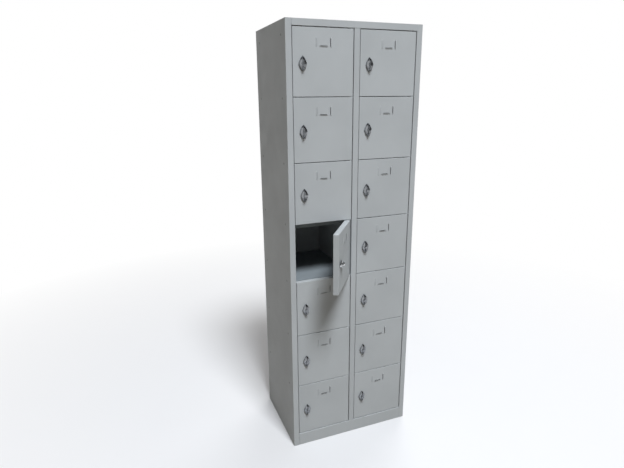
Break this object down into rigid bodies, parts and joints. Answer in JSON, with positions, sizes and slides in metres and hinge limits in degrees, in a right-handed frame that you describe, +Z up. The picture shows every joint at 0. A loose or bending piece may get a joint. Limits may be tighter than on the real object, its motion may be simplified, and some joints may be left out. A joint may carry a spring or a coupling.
{
  "type": "phone locker",
  "caption": "Tall steel phone locker: two columns of small compartments with hinged, cam-locked doors on a recessed-fold plinth.",
  "frame": {"origin": "on the floor at the middle of the carcass's footprint, on the underside of the plinth's bearer", "axes": "+Z up, the doors face -Y, and the left column is on -X"},
  "size_m": [0.588, 0.5977, 1.85],
  "materials": {
    "carcass_paint": "light grey powder coat, satin, faint orange peel",
    "door_paint": "light grey powder coat, satin, faint orange peel",
    "shelf_paint": "light grey powder coat, satin",
    "lock_chrome": "bright chrome plate on die-cast zinc"
  },
  "bodies": {
    "carcass": {"left_side_panel": "carcass_paint", "right_side_panel": "carcass_paint", "top_panel": "carcass_paint", "base_tray": "carcass_paint", "back_panel": "carcass_paint", "centre_partition": "carcass_paint", "shelf_left_1": "shelf_paint", "shelf_left_2": "shelf_paint", "shelf_left_3": "shelf_paint", "shelf_left_4": "shelf_paint", "shelf_left_5": "shelf_paint", "shelf_left_6": "shelf_paint", "shelf_right_1": "shelf_paint", "shelf_right_2": "shelf_paint", "shelf_right_3": "shelf_paint", "shelf_right_4": "shelf_paint", "shelf_right_5": "shelf_paint", "shelf_right_6": "shelf_paint"},
    "door_left_1": {"door_left_1": "door_paint", "lock_body_left_1": "lock_chrome"},
    "lock_knob_left_1": {"lock_knob_left_1": "lock_chrome"},
    "door_left_2": {"door_left_2": "door_paint", "lock_body_left_2": "lock_chrome"},
    "lock_knob_left_2": {"lock_knob_left_2": "lock_chrome"},
    "door_left_3": {"door_left_3": "door_paint", "lock_body_left_3": "lock_chrome"},
    "lock_knob_left_3": {"lock_knob_left_3": "lock_chrome"},
    "door_left_4": {"door_left_4": "door_paint", "lock_body_left_4": "lock_chrome"},
    "lock_knob_left_4": {"lock_knob_left_4": "lock_chrome"},
    "door_left_5": {"door_left_5": "door_paint", "lock_body_left_5": "lock_chrome"},
    "lock_knob_left_5": {"lock_knob_left_5": "lock_chrome"},
    "door_left_6": {"door_left_6": "door_paint", "lock_body_left_6": "lock_chrome"},
    "lock_knob_left_6": {"lock_knob_left_6": "lock_chrome"},
    "door_left_7": {"door_left_7": "door_paint", "lock_body_left_7": "lock_chrome"},
    "lock_knob_left_7": {"lock_knob_left_7": "lock_chrome"},
    "door_right_1": {"door_right_1": "door_paint", "lock_body_right_1": "lock_chrome"},
    "lock_knob_right_1": {"lock_knob_right_1": "lock_chrome"},
    "door_right_2": {"door_right_2": "door_paint", "lock_body_right_2": "lock_chrome"},
    "lock_knob_right_2": {"lock_knob_right_2": "lock_chrome"},
    "door_right_3": {"door_right_3": "door_paint", "lock_body_right_3": "lock_chrome"},
    "lock_knob_right_3": {"lock_knob_right_3": "lock_chrome"},
    "door_right_4": {"door_right_4": "door_paint", "lock_body_right_4": "lock_chrome"},
    "lock_knob_right_4": {"lock_knob_right_4": "lock_chrome"},
    "door_right_5": {"door_right_5": "door_paint", "lock_body_right_5": "lock_chrome"},
    "lock_knob_right_5": {"lock_knob_right_5": "lock_chrome"},
    "door_right_6": {"door_right_6": "door_paint", "lock_body_right_6": "lock_chrome"},
    "lock_knob_right_6": {"lock_knob_right_6": "lock_chrome"},
    "door_right_7": {"door_right_7": "door_paint", "lock_body_right_7": "lock_chrome"},
    "lock_knob_right_7": {"lock_knob_right_7": "lock_chrome"}
  },
  "joints": [
    {"name": "door_left_1_hinge", "type": "hinge", "parent": "carcass", "child": "door_left_1", "pos_m": [-0.022, -0.195, 1.69786], "axis": [0, 0, 1], "range_deg": [0, 110]},
    {"name": "lock_knob_left_1_turn", "type": "hinge", "parent": "door_left_1", "child": "lock_knob_left_1", "pos_m": [-0.227, -0.2, 1.69386], "axis": [0, -1, 0], "range_deg": [-90, 90]},
    {"name": "door_left_2_hinge", "type": "hinge", "parent": "carcass", "child": "door_left_2", "pos_m": [-0.022, -0.195, 1.44607], "axis": [0, 0, 1], "range_deg": [0, 110]},
    {"name": "lock_knob_left_2_turn", "type": "hinge", "parent": "door_left_2", "child": "lock_knob_left_2", "pos_m": [-0.227, -0.2, 1.44207], "axis": [0, -1, 0], "range_deg": [-90, 90]},
    {"name": "door_left_3_hinge", "type": "hinge", "parent": "carcass", "child": "door_left_3", "pos_m": [-0.022, -0.195, 1.19429], "axis": [0, 0, 1], "range_deg": [0, 110]},
    {"name": "lock_knob_left_3_turn", "type": "hinge", "parent": "door_left_3", "child": "lock_knob_left_3", "pos_m": [-0.227, -0.2, 1.19029], "axis": [0, -1, 0], "range_deg": [-90, 90]},
    {"name": "door_left_4_hinge", "type": "hinge", "parent": "carcass", "child": "door_left_4", "pos_m": [-0.022, -0.195, 0.9425], "axis": [0, 0, 1], "range_deg": [-54, 56]},
    {"name": "lock_knob_left_4_turn", "type": "hinge", "parent": "door_left_4", "child": "lock_knob_left_4", "pos_m": [-0.13845, -0.36379, 0.9385], "axis": [0.809, -0.5878, 0], "range_deg": [0, 180]},
    {"name": "door_left_5_hinge", "type": "hinge", "parent": "carcass", "child": "door_left_5", "pos_m": [-0.022, -0.195, 0.69071], "axis": [0, 0, 1], "range_deg": [0, 110]},
    {"name": "lock_knob_left_5_turn", "type": "hinge", "parent": "door_left_5", "child": "lock_knob_left_5", "pos_m": [-0.227, -0.2, 0.68671], "axis": [0, -1, 0], "range_deg": [-90, 90]},
    {"name": "door_left_6_hinge", "type": "hinge", "parent": "carcass", "child": "door_left_6", "pos_m": [-0.022, -0.195, 0.43893], "axis": [0, 0, 1], "range_deg": [0, 110]},
    {"name": "lock_knob_left_6_turn", "type": "hinge", "parent": "door_left_6", "child": "lock_knob_left_6", "pos_m": [-0.227, -0.2, 0.43493], "axis": [0, -1, 0], "range_deg": [-90, 90]},
    {"name": "door_left_7_hinge", "type": "hinge", "parent": "carcass", "child": "door_left_7", "pos_m": [-0.022, -0.195, 0.18714], "axis": [0, 0, 1], "range_deg": [0, 110]},
    {"name": "lock_knob_left_7_turn", "type": "hinge", "parent": "door_left_7", "child": "lock_knob_left_7", "pos_m": [-0.227, -0.2, 0.18314], "axis": [0, -1, 0], "range_deg": [-90, 90]},
    {"name": "door_right_1_hinge", "type": "hinge", "parent": "carcass", "child": "door_right_1", "pos_m": [0.2595, -0.195, 1.69786], "axis": [0, 0, 1], "range_deg": [0, 110]},
    {"name": "lock_knob_right_1_turn", "type": "hinge", "parent": "door_right_1", "child": "lock_knob_right_1", "pos_m": [0.0545, -0.2, 1.69386], "axis": [0, -1, 0], "range_deg": [-90, 90]},
    {"name": "door_right_2_hinge", "type": "hinge", "parent": "carcass", "child": "door_right_2", "pos_m": [0.2595, -0.195, 1.44607], "axis": [0, 0, 1], "range_deg": [0, 110]},
    {"name": "lock_knob_right_2_turn", "type": "hinge", "parent": "door_right_2", "child": "lock_knob_right_2", "pos_m": [0.0545, -0.2, 1.44207], "axis": [0, -1, 0], "range_deg": [-90, 90]},
    {"name": "door_right_3_hinge", "type": "hinge", "parent": "carcass", "child": "door_right_3", "pos_m": [0.2595, -0.195, 1.19429], "axis": [0, 0, 1], "range_deg": [0, 110]},
    {"name": "lock_knob_right_3_turn", "type": "hinge", "parent": "door_right_3", "child": "lock_knob_right_3", "pos_m": [0.0545, -0.2, 1.19029], "axis": [0, -1, 0], "range_deg": [-90, 90]},
    {"name": "door_right_4_hinge", "type": "hinge", "parent": "carcass", "child": "door_right_4", "pos_m": [0.2595, -0.195, 0.9425], "axis": [0, 0, 1], "range_deg": [0, 110]},
    {"name": "lock_knob_right_4_turn", "type": "hinge", "parent": "door_right_4", "child": "lock_knob_right_4", "pos_m": [0.0545, -0.2, 0.9385], "axis": [0, -1, 0], "range_deg": [-90, 90]},
    {"name": "door_right_5_hinge", "type": "hinge", "parent": "carcass", "child": "door_right_5", "pos_m": [0.2595, -0.195, 0.69071], "axis": [0, 0, 1], "range_deg": [0, 110]},
    {"name": "lock_knob_right_5_turn", "type": "hinge", "parent": "door_right_5", "child": "lock_knob_right_5", "pos_m": [0.0545, -0.2, 0.68671], "axis": [0, -1, 0], "range_deg": [-90, 90]},
    {"name": "door_right_6_hinge", "type": "hinge", "parent": "carcass", "child": "door_right_6", "pos_m": [0.2595, -0.195, 0.43893], "axis": [0, 0, 1], "range_deg": [0, 110]},
    {"name": "lock_knob_right_6_turn", "type": "hinge", "parent": "door_right_6", "child": "lock_knob_right_6", "pos_m": [0.0545, -0.2, 0.43493], "axis": [0, -1, 0], "range_deg": [-90, 90]},
    {"name": "door_right_7_hinge", "type": "hinge", "parent": "carcass", "child": "door_right_7", "pos_m": [0.2595, -0.195, 0.18714], "axis": [0, 0, 1], "range_deg": [0, 110]},
    {"name": "lock_knob_right_7_turn", "type": "hinge", "parent": "door_right_7", "child": "lock_knob_right_7", "pos_m": [0.0545, -0.2, 0.18314], "axis": [0, -1, 0], "range_deg": [-90, 90]}
  ]
}
